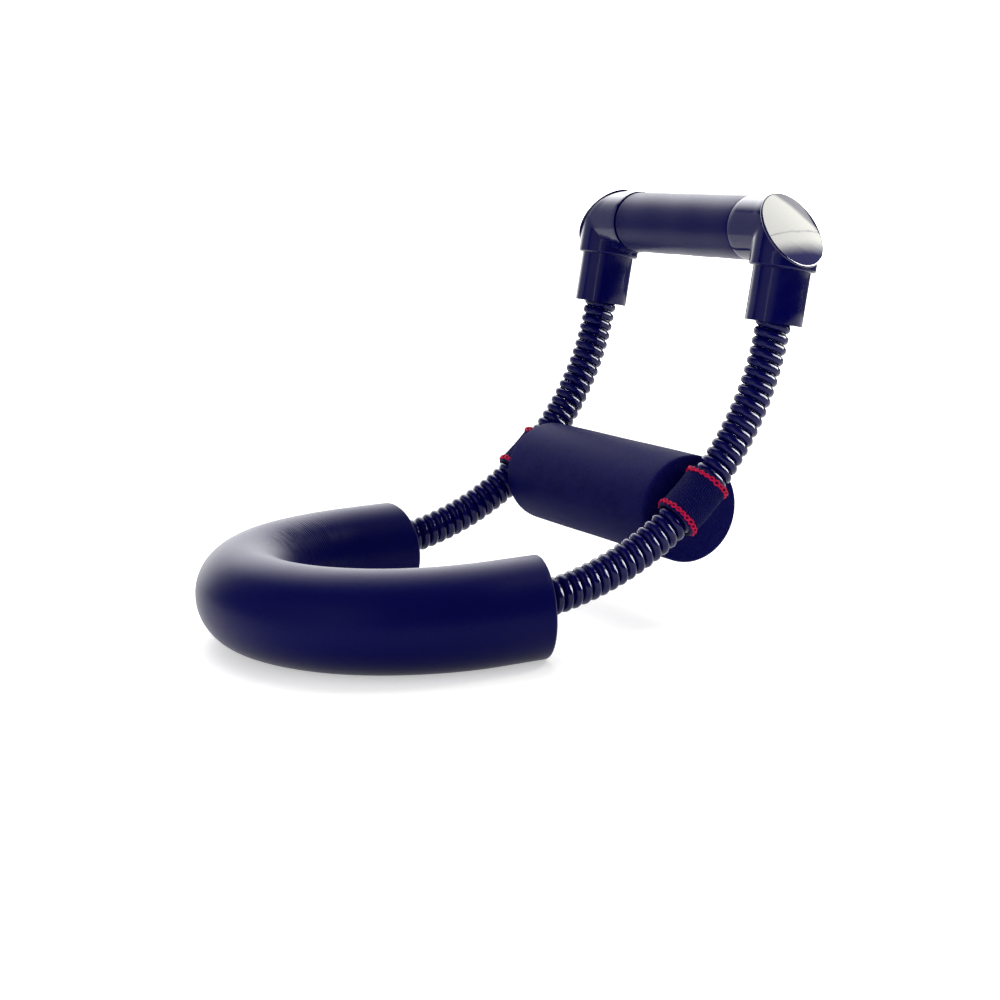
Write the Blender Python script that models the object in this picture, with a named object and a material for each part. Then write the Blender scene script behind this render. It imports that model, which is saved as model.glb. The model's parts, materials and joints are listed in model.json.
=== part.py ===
"""Wrist exerciser: a U-shaped padded arm rest, two coil springs that bend with the wrist,
a foam roller held between them by a webbing strap, and a handle between two moulded elbows.

Frame: X runs across (the pair of springs), Y runs from the closed end of the arm rest to the
handle, +Z is up.  The origin is on the flat underside, at the middle of the closed end.
The springs are bent as in use: one arc that leaves the arm rest nearly level and rises to the
handle.  Each size is in metres and is written once below.
"""
import math

import bmesh
import bpy
from mathutils import Matrix, Vector

for old_object in list(bpy.data.objects):
    bpy.data.objects.remove(old_object)

# Sizes shared by the whole object
spring_spacing = 0.141       # between the two spring axes
gap = 0.0003                 # kept between pieces that touch

# Arm rest: a foam sleeve over a steel tube bent to a U
pad_outer_radius = 0.0205
pad_leg_length = 0.022       # straight part of each leg
pad_flat_depth = 0.0005      # pressed flat where it lies on the table
pad_rim_radius = 0.0015
pad_end_lean = math.radians(11)
sleeve_clearance = 0.0006    # between the sleeve's mouths and the springs
tube_outer_radius = 0.010
tube_clearance = 0.0008      # between the springs and the tube's bore
tube_rise = 0.0019           # of the tube above the middle of the foam
bend_steps = 16

# Springs
spring_outer_radius = 0.0075
wire_radius = 0.00165
coil_pitch = 0.00423
points_per_curl = 8
arc_radius = 0.1277          # of the spring's axis between arm rest and handle
start_slope = math.radians(6.8)
end_slope = math.radians(77.8)
sleeve_bend_radius = 0.110   # tighter bend hidden in the end of the sleeve
tang_bend_radius = 0.0028
tang_length = 0.0033

# Plugs, pins and screws that hold the spring ends
spigot_radius = 0.0038
spigot_length = 0.0055
plug_head_length = 0.005
pin_radius = 0.0015
screw_radius = 0.0020
screw_head_radius = 0.0038
screw_head_height = 0.0025
screw_key_radius = 0.0016
screw_key_depth = 0.0014
thread_depth = 0.0095

# Webbing strap and roller
strap_slope = math.radians(41.7)   # slope of the springs where the strap sits
strap_width = 0.0224
strap_thickness = 0.0012
strap_fold_radius = 0.0010
strap_clearance = 0.0003
roller_radius = 0.0223
roller_strap_gap = 0.0011    # from the loop's inner side to the roller's end
roller_rim_radius = 0.0012
slit_clearance = 0.0004

# Elbows, their caps and the handle
socket_radius = 0.0116
socket_length = 0.0223
socket_insert = 0.014        # length of spring inside the socket
elbow_height = 0.0381        # from the socket's mouth to the handle's axis
elbow_radius = 0.0138
elbow_reach = 0.024          # from the spring's axis to the grip
elbow_edge_radius = 0.0010
rod_radius = 0.005
rod_insert = 0.012
pocket_radius = 0.0046
pocket_depth = 0.008
cap_radius = 0.0148
cap_rim_height = 0.0016
cap_crown = 0.0008
cap_boss_radius = 0.0026
cap_boss_length = 0.0022
grip_radius = 0.0134
grip_rim_radius = 0.0012

# Places that follow from the sizes
half_spacing = spring_spacing / 2
bend_radius = half_spacing
pad_axis_height = pad_outer_radius - pad_flat_depth
leg_end_y = bend_radius + pad_leg_length
tube_axis_height = pad_axis_height + tube_rise
tube_inner_radius = spring_outer_radius + tube_clearance
sleeve_bend_run = sleeve_bend_radius * math.sin(start_slope)
tube_mouth_y = leg_end_y - sleeve_bend_run
spring_seat_y = bend_radius
arc_start = Vector((0, leg_end_y, tube_axis_height + sleeve_bend_radius * (1 - math.cos(start_slope))))
arc_centre = arc_start + arc_radius * Vector((0, -math.sin(start_slope), math.cos(start_slope)))
coil_radius = spring_outer_radius - wire_radius
strap_inner_radius = spring_outer_radius + strap_clearance
strap_outer_radius = strap_inner_radius + strap_thickness
layer_gap = gap
roller_offset = strap_outer_radius - strap_thickness - layer_gap / 2
roller_half_length = half_spacing - strap_outer_radius - roller_strap_gap


def direction(slope):
    """Unit vector along a spring whose slope is the given angle."""
    return Vector((0, math.cos(slope), math.sin(slope)))


def arc_point(slope, outward=0.0):
    """Point at a given slope of the springs' arc, moved outward from the arc's centre."""
    reach = arc_radius + outward
    return arc_centre + reach * Vector((0, math.sin(slope), -math.cos(slope)))


def material(name, colour, roughness, metallic=0.0):
    """Principled material with one colour."""
    made = bpy.data.materials.new(name)
    made.use_nodes = True
    shader = made.node_tree.nodes["Principled BSDF"]
    shader.inputs["Base Color"].default_value = (*colour, 1.0)
    shader.inputs["Roughness"].default_value = roughness
    shader.inputs["Metallic"].default_value = metallic
    made.diffuse_color = (*colour, 1.0)
    return made


FOAM = material("pad_foam", (0.016, 0.016, 0.022), 0.75)
ROLLER_FOAM = material("roller_foam", (0.014, 0.014, 0.020), 0.85)
SPRING_PAINT = material("spring_paint", (0.010, 0.010, 0.014), 0.18)
WEBBING = material("webbing", (0.018, 0.018, 0.024), 0.80)
ELBOW_PLASTIC = material("elbow_plastic", (0.010, 0.010, 0.015), 0.12)
CAP_GLOSS = material("cap_gloss", (0.010, 0.010, 0.015), 0.04)
STEEL = material("bare_steel", (0.45, 0.45, 0.46), 0.35, 1.0)
ZINC = material("zinc_plate", (0.60, 0.60, 0.58), 0.30, 1.0)


def place(mesh, name, surface, matrix=None):
    """Add a mesh to the scene as one named piece."""
    if surface is not None and not mesh.materials:
        mesh.materials.append(surface)
    piece = bpy.data.objects.new(name, mesh)
    bpy.context.scene.collection.objects.link(piece)
    if matrix is not None:
        piece.matrix_world = matrix
    return piece


def finish_mesh(work, name, crease=35):
    """Turn the bmesh into a mesh with outward faces, smooth up to the crease angle."""
    bmesh.ops.recalc_face_normals(work, faces=work.faces)
    mesh = bpy.data.meshes.new(name)
    work.to_mesh(mesh)
    work.free()
    mesh.shade_smooth()
    mesh.set_sharp_from_angle(angle=math.radians(crease))
    return mesh


def turned(name, profile, steps, closed=False):
    """Solid turned about Z from (radius, height) points.

    An open profile starts and ends on the axis; a closed one is the section of a ring.
    """
    work = bmesh.new()
    points = [work.verts.new((radius, 0, height)) for radius, height in profile]
    pairs = list(zip(points, points[1:]))
    if closed:
        pairs.append((points[-1], points[0]))
    edges = [work.edges.new(pair) for pair in pairs]
    bmesh.ops.spin(
        work, geom=points + edges, cent=(0, 0, 0), axis=(0, 0, 1),
        angle=2 * math.pi, steps=steps, use_merge=True)
    bmesh.ops.remove_doubles(work, verts=work.verts, dist=1e-7)
    return finish_mesh(work, name)


def rounded(radius, height, rim, side, count=3):
    """Quarter circle of profile points that rounds an outer edge.

    The side is 1 where the edge is at the top of the solid and -1 at its bottom; the points
    run from the end face towards the outer wall.
    """
    points = []
    for index in range(count + 1):
        turn = math.pi / 2 * index / count
        points.append((radius - rim + rim * math.sin(turn), height - side * rim * (1 - math.cos(turn))))
    return points


def bridged(name, rings, crease=35):
    """Solid whose skin runs from ring to ring and closes from the last to the first."""
    work = bmesh.new()
    loops = [[work.verts.new(point) for point in ring] for ring in rings]
    for ring_a, ring_b in zip(loops, loops[1:] + loops[:1]):
        count = len(ring_a)
        for index in range(count):
            after = (index + 1) % count
            work.faces.new((ring_a[index], ring_a[after], ring_b[after], ring_b[index]))
    return finish_mesh(work, name, crease)


def cutter(mesh, name, matrix=None):
    """A piece that is only used to cut others."""
    tool = place(mesh, name, None, matrix)
    tool.hide_render = True
    tool.display_type = "WIRE"
    return tool


def boolean(piece, tool, operation="DIFFERENCE"):
    """Cut or join a piece with an exact Boolean modifier."""
    change = piece.modifiers.new(tool.name, "BOOLEAN")
    change.operation = operation
    change.solver = "EXACT"
    change.object = tool


def frame_matrix(origin, x_axis, z_axis):
    """Matrix that puts a mesh's origin, X and Z where they are asked for."""
    y_axis = z_axis.cross(x_axis)
    turn = Matrix((x_axis, y_axis, z_axis)).transposed()
    return Matrix.Translation(origin) @ turn.to_4x4()


# Path of the arm rest
def leg_path(distance):
    """Point, heading and outward direction on the U, measured from the +X leg's end."""
    bend_length = math.pi * bend_radius
    beyond = distance - pad_leg_length
    if beyond <= 0:
        return Vector((half_spacing, leg_end_y - distance, 0)), Vector((0, -1, 0)), Vector((1, 0, 0))
    if beyond >= bend_length:
        rise = bend_radius + beyond - bend_length
        return Vector((-half_spacing, rise, 0)), Vector((0, 1, 0)), Vector((-1, 0, 0))
    turn = beyond / bend_radius
    outward = Vector((math.cos(turn), -math.sin(turn), 0))
    heading = Vector((-math.sin(turn), -math.cos(turn), 0))
    return Vector((0, bend_radius, 0)) + bend_radius * outward, heading, outward


path_length = 2 * pad_leg_length + math.pi * bend_radius


def path_stations(inset):
    """Distances along the U at which its tube and sleeve have a ring."""
    bend_length = math.pi * bend_radius
    bend = [pad_leg_length + bend_length * index / bend_steps for index in range(bend_steps + 1)]
    return [inset, *bend, path_length - inset]


def path_ring(distance, section, lean=0.0):
    """Ring of a section's (outward, up) points at a distance along the U."""
    centre, heading, outward = leg_path(distance)
    lift = Vector((0, 0, pad_axis_height))
    slant = math.tan(lean)
    return [centre + lift + outward * out + Vector((0, 0, up)) + heading * slant * out for out, up in section]


def tube_section(radius, count=12):
    """Round section of the steel tube, with an edge and not a point at its lowest place."""
    turns = [-math.pi / 2 + 2 * math.pi * (index + 0.5) / count for index in range(count)]
    return [(radius * math.cos(turn), radius * math.sin(turn) + tube_rise) for turn in turns]


def sleeve_section(radius, rise=0.0, count=22):
    """Section of the sleeve's skin or bore; its lowest side is the chord that lies flat."""
    half_flat = math.acos((pad_outer_radius - pad_flat_depth) / pad_outer_radius)
    span = 2 * (math.pi - half_flat)
    turns = [-math.pi / 2 + half_flat + span * index / (count - 1) for index in range(count)]
    return [(radius * math.cos(turn), radius * math.sin(turn) + rise) for turn in turns]


def arm_pad():
    """Foam sleeve that closes round the springs at its ends.

    The ends lean, because a straight sleeve falls short on the outside of the bend.
    """
    skin_section = sleeve_section(pad_outer_radius)
    bore_section = sleeve_section(tube_outer_radius + gap, tube_rise)
    stations = path_stations(pad_leg_length / 2)
    rings = [path_ring(distance, skin_section) for distance in stations]
    bore = [path_ring(distance, bore_section) for distance in stations]
    near_end = []
    far_end = []
    for back, inset in ((1.0, 0.0), (0.3, 0.3), (0.0, 1.0)):
        section = sleeve_section(pad_outer_radius - inset * pad_rim_radius)
        distance = back * pad_rim_radius
        near_end.append(path_ring(distance, section, pad_end_lean))
        far_end.append(path_ring(path_length - distance, section, -pad_end_lean))
    mouth_section = sleeve_section(spring_outer_radius + sleeve_clearance, arc_start.z - pad_axis_height)
    near_bore = path_ring(0, mouth_section, pad_end_lean)
    far_bore = path_ring(path_length, mouth_section, -pad_end_lean)
    skin = near_end[::-1] + rings + far_end
    skin += [far_bore] + bore[::-1] + [near_bore]
    return place(bridged("arm_pad", skin), "arm_pad", FOAM)


def frame_tube():
    """Steel tube bent to a U, drilled across for the pins of the spring plugs."""
    stations = path_stations(sleeve_bend_run)
    outer = [path_ring(distance, tube_section(tube_outer_radius)) for distance in stations]
    inner = [path_ring(distance, tube_section(tube_inner_radius)) for distance in stations]
    tube = place(bridged("frame_tube", outer + inner[::-1]), "frame_tube", STEEL)
    hole_reach = tube_outer_radius * 1.5
    hole = [(0, -hole_reach), (pin_radius + gap, -hole_reach), (pin_radius + gap, hole_reach), (0, hole_reach)]
    drill = turned("pin_drill", hole, 12)
    for side, label in ((1, "right"), (-1, "left")):
        boolean(tube, cutter(drill, "pin_drill_" + label, Matrix.Translation(pin_place(side))))
    return tube


def pin_place(side):
    """Middle of the cross pin, in the plug's head."""
    return Vector((side * half_spacing, spring_seat_y - gap - plug_head_length / 2, tube_axis_height))


def lower_fixings():
    """Plugs in the tube that carry the springs, and the pins that hold the plugs."""
    head_radius = spring_outer_radius
    profile = [
        (0, -plug_head_length), (head_radius, -plug_head_length), (head_radius, 0),
        (spigot_radius, 0), (spigot_radius, spigot_length - 0.0008),
        (spigot_radius - 0.0008, spigot_length), (0, spigot_length)]
    plug_mesh = turned("lower_plug", profile, 16)
    pin_half = tube_outer_radius - 0.0001
    pin_profile = [(0, -pin_half), (pin_radius, -pin_half), (pin_radius, pin_half), (0, pin_half)]
    pin_mesh = turned("plug_pin", pin_profile, 12)
    hole_reach = tube_outer_radius
    hole = [(0, -hole_reach), (pin_radius + gap, -hole_reach), (pin_radius + gap, hole_reach), (0, hole_reach)]
    drill = turned("plug_drill", hole, 12)
    for side, label in ((1, "right"), (-1, "left")):
        seat = Vector((side * half_spacing, spring_seat_y - gap, tube_axis_height))
        plug = place(plug_mesh, "lower_plug_" + label, STEEL, frame_matrix(seat, Vector((1, 0, 0)), Vector((0, 1, 0))))
        boolean(plug, cutter(drill, "plug_drill_" + label, Matrix.Translation(pin_place(side))))
        place(pin_mesh, "plug_pin_" + label, ZINC, Matrix.Translation(pin_place(side)))


# Springs
arc_length = arc_radius * (end_slope - start_slope)
sleeve_arc_length = sleeve_bend_radius * start_slope
seat_run = tube_mouth_y - spring_seat_y
spring_length = seat_run + sleeve_arc_length + arc_length + socket_insert


def spring_axis(distance):
    """Point and slope on a spring's axis, measured from its seat in the tube."""
    start = Vector((0, spring_seat_y, tube_axis_height))
    if distance <= seat_run:
        return start + Vector((0, distance, 0)), 0.0
    distance -= seat_run
    if distance <= sleeve_arc_length:
        slope = distance / sleeve_bend_radius
        bend = Vector((0, math.sin(slope), 1 - math.cos(slope)))
        return start + Vector((0, seat_run, 0)) + sleeve_bend_radius * bend, slope
    distance -= sleeve_arc_length
    if distance <= arc_length:
        slope = start_slope + distance / arc_radius
        return arc_point(slope), slope
    distance -= arc_length
    return arc_point(end_slope) + distance * direction(end_slope), end_slope


def unrolled_wire():
    """Wire as (turned angle, distance along the axis): tang, curls, tang."""
    tang_rise = tang_length + tang_bend_radius
    climb = math.atan(coil_pitch / (2 * math.pi * coil_radius))
    curls = (spring_length - 2 * tang_rise) / coil_pitch
    count = round(curls * points_per_curl)
    bend = []
    for index in range(4):
        turn = math.pi / 2 + (climb - math.pi / 2) * index / 4
        along = tang_length + tang_bend_radius * math.cos(turn)
        around = -tang_bend_radius * (1 - math.sin(turn)) / coil_radius
        bend.append((-around, along))
    bend_turn = tang_bend_radius * (1 - math.sin(climb)) / coil_radius
    points = [(0.0, 0.0), *bend]
    for index in range(count + 1):
        part = index / count
        points.append((bend_turn + 2 * math.pi * curls * part, tang_rise + curls * coil_pitch * part))
    last_turn = 2 * bend_turn + 2 * math.pi * curls
    points += [(last_turn - turned_by, spring_length - along) for turned_by, along in reversed(bend)]
    points.append((last_turn, spring_length))
    return points


def wire_points():
    """Centreline of the wire, wound round the bent axis of the spring at X = 0."""
    points = []
    for turned_by, along in unrolled_wire():
        centre, slope = spring_axis(along)
        inward = Vector((0, -math.sin(slope), math.cos(slope)))
        across = Vector((1, 0, 0))
        points.append(centre + coil_radius * (math.cos(turned_by) * across + math.sin(turned_by) * inward))
    return points


def least_coil_gap(points):
    """Least distance between the surfaces of neighbouring curls, measured on the points."""
    dense = []
    for first, second in zip(points, points[1:]):
        dense += [first.lerp(second, part / 4) for part in range(4)]
    per_curl = points_per_curl * 4
    least = 1.0
    for index, point in enumerate(dense):
        window = dense[index + per_curl // 2:index + per_curl * 3 // 2]
        for other in window:
            least = min(least, (point - other).length)
    return least - 2 * wire_radius


def springs():
    """Both springs: the same wound wire, one behind the other."""
    points = wire_points()
    print("least gap between curls: %.2f mm" % (1000 * least_coil_gap(points)))
    curve = bpy.data.curves.new("spring", "CURVE")
    curve.dimensions = "3D"
    curve.bevel_depth = wire_radius
    curve.bevel_resolution = 1
    curve.use_fill_caps = True
    spline = curve.splines.new("POLY")
    spline.points.add(len(points) - 1)
    for slot, point in zip(spline.points, points):
        slot.co = (*point, 1.0)
    spline.use_smooth = True
    curve.materials.append(SPRING_PAINT)
    for side, label in ((1, "right"), (-1, "left")):
        spring = bpy.data.objects.new("spring_" + label, curve)
        bpy.context.scene.collection.objects.link(spring)
        spring.location.x = side * half_spacing


# Strap and roller
def loop_outline(offset):
    """Closed outline of the webbing, moved outward by an offset, as (across, inward) points.

    It goes once round: under the roller's axis, round one spring, down to the other layer with
    a fold, back through the roller and round the other spring.
    """
    middle = strap_inner_radius + strap_thickness / 2
    half = []
    for index in range(19):
        turn = -math.pi / 2 + 1.5 * math.pi * index / 18
        half.append(((middle + offset) * math.cos(turn), (middle + offset) * math.sin(turn)))
    fold_level = -(middle - strap_thickness - layer_gap) + strap_fold_radius
    fold_across = -(middle + strap_fold_radius)
    for index in range(4):
        turn = -math.pi / 2 * index / 3
        reach = strap_fold_radius - offset
        half.append((fold_across + reach * math.cos(turn), fold_level + reach * math.sin(turn)))
    right = [(half_spacing + across, inward) for across, inward in half]
    left = [(-across, inward) for across, inward in reversed(right)]
    return right + left


def support_strap():
    """One endless band of webbing, bent with the springs so that it slides along them."""
    steps = 4
    half_turn = strap_width / 2 / arc_radius
    rings = []
    for offset, order in ((strap_thickness / 2, 1), (-strap_thickness / 2, -1)):
        outline = loop_outline(offset)
        slopes = [strap_slope + half_turn * (2 * index / steps - 1) for index in range(steps + 1)]
        for slope in slopes[::order]:
            rings.append([arc_point(slope, -inward) + Vector((across, 0, 0)) for across, inward in outline])
    return place(bridged("support_strap", rings), "support_strap", WEBBING)


def roller():
    """Foam roller with a slit that its webbing passes through."""
    centre = arc_point(strap_slope, roller_offset)
    top = rounded(roller_radius, roller_half_length, roller_rim_radius, 1)
    bottom = [(radius, -height) for radius, height in reversed(top)]
    profile = [(0, roller_half_length), *top, *bottom, (0, -roller_half_length)]
    matrix = frame_matrix(centre, Vector((0, 0, 1)), Vector((1, 0, 0)))
    foam = place(turned("roller_foam", profile, 36), "roller_foam", ROLLER_FOAM, matrix)
    boolean(foam, cutter(slit_mesh(), "roller_slit"))
    return foam


def slit_mesh():
    """Curved slot for two layers of webbing."""
    steps = 4
    near = strap_outer_radius + slit_clearance
    far = strap_outer_radius - 2 * strap_thickness - layer_gap - slit_clearance
    half_turn = (strap_width / 2 + slit_clearance) / arc_radius
    reach = roller_half_length * 1.1
    work = bmesh.new()
    loops = []
    for index in range(steps + 1):
        slope = strap_slope + half_turn * (2 * index / steps - 1)
        corners = [(-reach, near), (reach, near), (reach, far), (-reach, far)]
        loops.append([work.verts.new(arc_point(slope, out) + Vector((across, 0, 0))) for across, out in corners])
    for ring_a, ring_b in zip(loops, loops[1:]):
        for index in range(4):
            after = (index + 1) % 4
            work.faces.new((ring_a[index], ring_a[after], ring_b[after], ring_b[index]))
    work.faces.new(loops[0][::-1])
    work.faces.new(loops[-1])
    return finish_mesh(work, "roller_slit")


# Handle: everything is placed from the corner where the spring's and the handle's axes meet
def corner_matrix(side):
    """Frame of an elbow: X points out along the handle's axis, Z along the spring."""
    corner = arc_point(end_slope) + elbow_height * direction(end_slope)
    corner.x = side * half_spacing
    return frame_matrix(corner, Vector((side, 0, 0)), direction(end_slope))


def along_x():
    """Turns a solid made about Z so that its top points along -X."""
    return Matrix.Rotation(-math.pi / 2, 4, "Y")


def moved(mesh, matrix):
    """The mesh itself moved by a matrix."""
    mesh.transform(matrix)
    return mesh


def bore_bottom():
    """Depth of the socket's bore above the spring's end: plug head and its gaps."""
    return -elbow_height + socket_insert + plug_head_length + 2 * gap


def elbow_meshes():
    """Socket with its step, handle leg, mitre block and the two stepped bores."""
    mouth = -elbow_height
    step = mouth + socket_length
    over = elbow_radius * 1.6
    edge = elbow_edge_radius
    socket = [(0, mouth), *rounded(socket_radius, mouth, edge, -1)]
    socket += [(socket_radius, step)]
    socket += [(radius, height) for radius, height in rounded(elbow_radius, step, edge, -1)]
    socket += [(elbow_radius, over), (0, over)]
    leg = [(0, elbow_reach), *rounded(elbow_radius, elbow_reach, edge, 1), (elbow_radius, -over), (0, -over)]
    bore = [
        (0, mouth - 0.001), (spring_outer_radius + gap, mouth - 0.001),
        (spring_outer_radius + gap, bore_bottom()), (screw_radius + gap, bore_bottom()),
        (screw_radius + gap, -pocket_depth), (pocket_radius, -pocket_depth), (pocket_radius, over), (0, over)]
    rod_bore = [
        (0, elbow_reach + 0.001), (rod_radius + gap, elbow_reach + 0.001), (rod_radius + gap, rod_insert),
        (screw_radius + gap, rod_insert), (screw_radius + gap, pocket_depth), (pocket_radius, pocket_depth),
        (pocket_radius, -over), (0, -over)]
    block = bmesh.new()
    bmesh.ops.create_cube(block, size=over * 4)
    bmesh.ops.translate(block, verts=block.verts, vec=(0, 0, over * 2))
    mitre = moved(finish_mesh(block, "mitre_block"), Matrix.Rotation(math.pi / 4, 4, "Y"))
    return (
        turned("elbow_socket", socket, 32), moved(turned("elbow_leg", leg, 32), along_x()), mitre,
        turned("socket_bore", bore, 16), moved(turned("rod_bore", rod_bore, 16), along_x()))


def elbows():
    """Moulded elbows, cut at 45 degrees where their caps sit."""
    socket, leg, mitre, bore, rod_bore = elbow_meshes()
    for side, label in ((1, "right"), (-1, "left")):
        matrix = corner_matrix(side)
        elbow = place(socket, "elbow_" + label, ELBOW_PLASTIC, matrix)
        boolean(elbow, cutter(leg, "elbow_leg_" + label, matrix), "UNION")
        boolean(elbow, cutter(mitre, "mitre_block_" + label, matrix))
        boolean(elbow, cutter(bore, "socket_bore_" + label, matrix))
        boolean(elbow, cutter(rod_bore, "rod_bore_" + label, matrix))


def caps():
    """Oval cover plates, crowned, with a boss that fits the screw pocket."""
    boss = cap_boss_radius
    profile = [(0, cap_rim_height + cap_crown)]
    for part in (0.4, 0.75):
        profile.append((cap_radius * part, cap_rim_height + cap_crown * (1 - part * part)))
    profile += [
        (cap_radius * 0.94, cap_rim_height), (cap_radius * 0.985, cap_rim_height * 0.75),
        (cap_radius, cap_rim_height * 0.45), (cap_radius * 0.985, 0),
        (boss, 0), (boss, -cap_boss_length), (0, -cap_boss_length)]
    plate = moved(turned("cap", profile, 36), Matrix.Scale(math.sqrt(2), 4, Vector((1, 0, 0))))
    for side, label in ((1, "right"), (-1, "left")):
        lift = Matrix.Rotation(math.pi / 4, 4, "Y") @ Matrix.Translation((0, 0, gap))
        place(plate, "cap_" + label, CAP_GLOSS, corner_matrix(side) @ lift)


def screw_mesh(name, length):
    """Screw with a round head and a six-sided key hole, pointing down from its seat at Z = 0."""
    profile = [
        (0, -length), (screw_radius - 0.0005, -length), (screw_radius, -length + 0.0005),
        (screw_radius, 0), (screw_head_radius, 0), (screw_head_radius, screw_head_height * 0.6),
        (screw_head_radius * 0.85, screw_head_height), (0, screw_head_height)]
    return turned(name, profile, 12)


def key_mesh():
    """Six-sided key hole."""
    work = bmesh.new()
    bmesh.ops.create_cone(
        work, cap_ends=True, segments=6, radius1=screw_key_radius, radius2=screw_key_radius,
        depth=screw_key_depth * 2)
    bmesh.ops.translate(work, verts=work.verts, vec=(0, 0, screw_head_height))
    return finish_mesh(work, "screw_key")


def upper_fixings():
    """Plugs in the sockets and the screws that hold the springs and the handle's rod."""
    seat = bore_bottom() - gap - plug_head_length
    head_radius = spring_outer_radius
    hole_radius = screw_radius + gap
    hole_end = -thread_depth - gap
    profile = [
        (0, hole_end), (hole_radius, hole_end), (hole_radius, 0), (head_radius, 0),
        (head_radius, -plug_head_length), (spigot_radius, -plug_head_length),
        (spigot_radius, -plug_head_length - spigot_length), (0, -plug_head_length - spigot_length)]
    plug_mesh = turned("upper_plug", profile, 16)
    web = -pocket_depth - bore_bottom()
    spring_screw = screw_mesh("spring_screw", web + 2 * gap + thread_depth - gap)
    handle_screw = screw_mesh("handle_screw", rod_insert - pocket_depth + 2 * gap + thread_depth - gap)
    key = key_mesh()
    for side, label in ((1, "right"), (-1, "left")):
        corner = corner_matrix(side)
        plug_top = Matrix.Translation((0, 0, seat + plug_head_length))
        place(plug_mesh, "upper_plug_" + label, STEEL, corner @ plug_top)
        down = corner @ Matrix.Translation((0, 0, -pocket_depth + gap))
        inward = corner @ Matrix.Rotation(math.pi / 2, 4, "Y") @ Matrix.Translation((0, 0, -pocket_depth + gap))
        for kind, mesh, matrix in (("spring_screw_", spring_screw, down), ("handle_screw_", handle_screw, inward)):
            screw = place(mesh, kind + label, ZINC, matrix)
            boolean(screw, cutter(key, kind + "key_" + label, matrix))


def handle():
    """Steel rod between the elbows and its foam grip."""
    rod_half = half_spacing - rod_insert - gap
    hole_radius = screw_radius + gap
    hole_end = rod_half - thread_depth - gap
    profile = [
        (0, hole_end), (hole_radius, hole_end), (hole_radius, rod_half), (rod_radius, rod_half),
        (rod_radius, -rod_half), (hole_radius, -rod_half), (hole_radius, -hole_end), (0, -hole_end)]
    middle = arc_point(end_slope) + elbow_height * direction(end_slope)
    matrix = frame_matrix(middle, direction(end_slope), Vector((1, 0, 0)))
    place(turned("handle_rod", profile, 16), "handle_rod", STEEL, matrix)
    grip_half = half_spacing - elbow_reach - gap
    bore_radius = rod_radius + gap
    top = rounded(grip_radius, grip_half, grip_rim_radius, 1)
    bottom = [(radius, -height) for radius, height in reversed(top)]
    section = [(bore_radius, grip_half), *top, *bottom, (bore_radius, -grip_half)]
    place(turned("grip_foam", section, 28, closed=True), "grip_foam", FOAM, matrix)


arm_pad()
frame_tube()
lower_fixings()
springs()
support_strap()
roller()
elbows()
caps()
upper_fixings()
handle()
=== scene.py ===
"""Wrist exerciser: the looks of its pieces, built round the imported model.

Frame: X runs across from one spring to the other, Y runs from the closed end of the arm rest to
the handle, +Z is up, in metres.  The sections follow the object as it is put together.
"""
import json
import math

import bmesh
import bpy
from mathutils import Matrix, Vector, noise

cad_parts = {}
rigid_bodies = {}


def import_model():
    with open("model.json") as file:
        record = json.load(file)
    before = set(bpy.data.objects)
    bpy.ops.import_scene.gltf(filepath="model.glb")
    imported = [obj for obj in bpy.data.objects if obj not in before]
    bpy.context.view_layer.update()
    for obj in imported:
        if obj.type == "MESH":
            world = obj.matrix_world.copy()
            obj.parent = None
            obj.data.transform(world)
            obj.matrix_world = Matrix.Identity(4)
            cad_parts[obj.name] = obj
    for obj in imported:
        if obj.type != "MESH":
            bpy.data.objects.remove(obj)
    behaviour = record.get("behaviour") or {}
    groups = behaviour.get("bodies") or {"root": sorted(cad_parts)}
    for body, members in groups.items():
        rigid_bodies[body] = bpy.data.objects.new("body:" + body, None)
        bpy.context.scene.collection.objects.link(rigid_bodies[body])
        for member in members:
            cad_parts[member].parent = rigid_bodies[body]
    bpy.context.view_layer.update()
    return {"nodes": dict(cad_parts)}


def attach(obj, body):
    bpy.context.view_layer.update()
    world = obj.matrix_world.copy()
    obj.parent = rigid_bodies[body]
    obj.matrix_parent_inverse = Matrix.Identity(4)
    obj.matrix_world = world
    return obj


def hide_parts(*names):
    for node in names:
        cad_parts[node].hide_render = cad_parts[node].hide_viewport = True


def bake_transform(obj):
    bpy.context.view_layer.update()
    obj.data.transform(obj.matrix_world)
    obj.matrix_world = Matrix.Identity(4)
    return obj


for old_object in list(bpy.data.objects):
    bpy.data.objects.remove(old_object)

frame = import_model()


# Camera.  It stands where the photographer stood: a little above the handle, on the side of the
# right-hand spring, with a slight tilt of the frame.  The lens is a short telephoto.
camera_place = Vector((0.7741, -0.2774, 0.2070))
camera_aim = Vector((0.0705, 0.0756, 0.0642))
camera_tilt = math.radians(2.08)


def placed(name, data):
    """New object for a mesh, lamp or camera, linked into the scene."""
    made = bpy.data.objects.new(name, data)
    bpy.context.scene.collection.objects.link(made)
    return made


lens = bpy.data.cameras.new("camera")
lens.sensor_width = 36
lens.lens = 75.14
lens.clip_start = 0.01
camera = placed("camera", lens)
forward = (camera_aim - camera_place).normalized()
level = forward.cross(Vector((0, 0, 1))).normalized()
right = level * math.cos(camera_tilt) + forward.cross(level) * math.sin(camera_tilt)
camera_turn = Matrix((right, right.cross(forward), -forward)).transposed()
camera.matrix_world = Matrix.Translation(camera_place) @ camera_turn.to_4x4()
bpy.context.scene.camera = camera
bpy.context.scene.view_settings.view_transform = "Standard"


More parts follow.
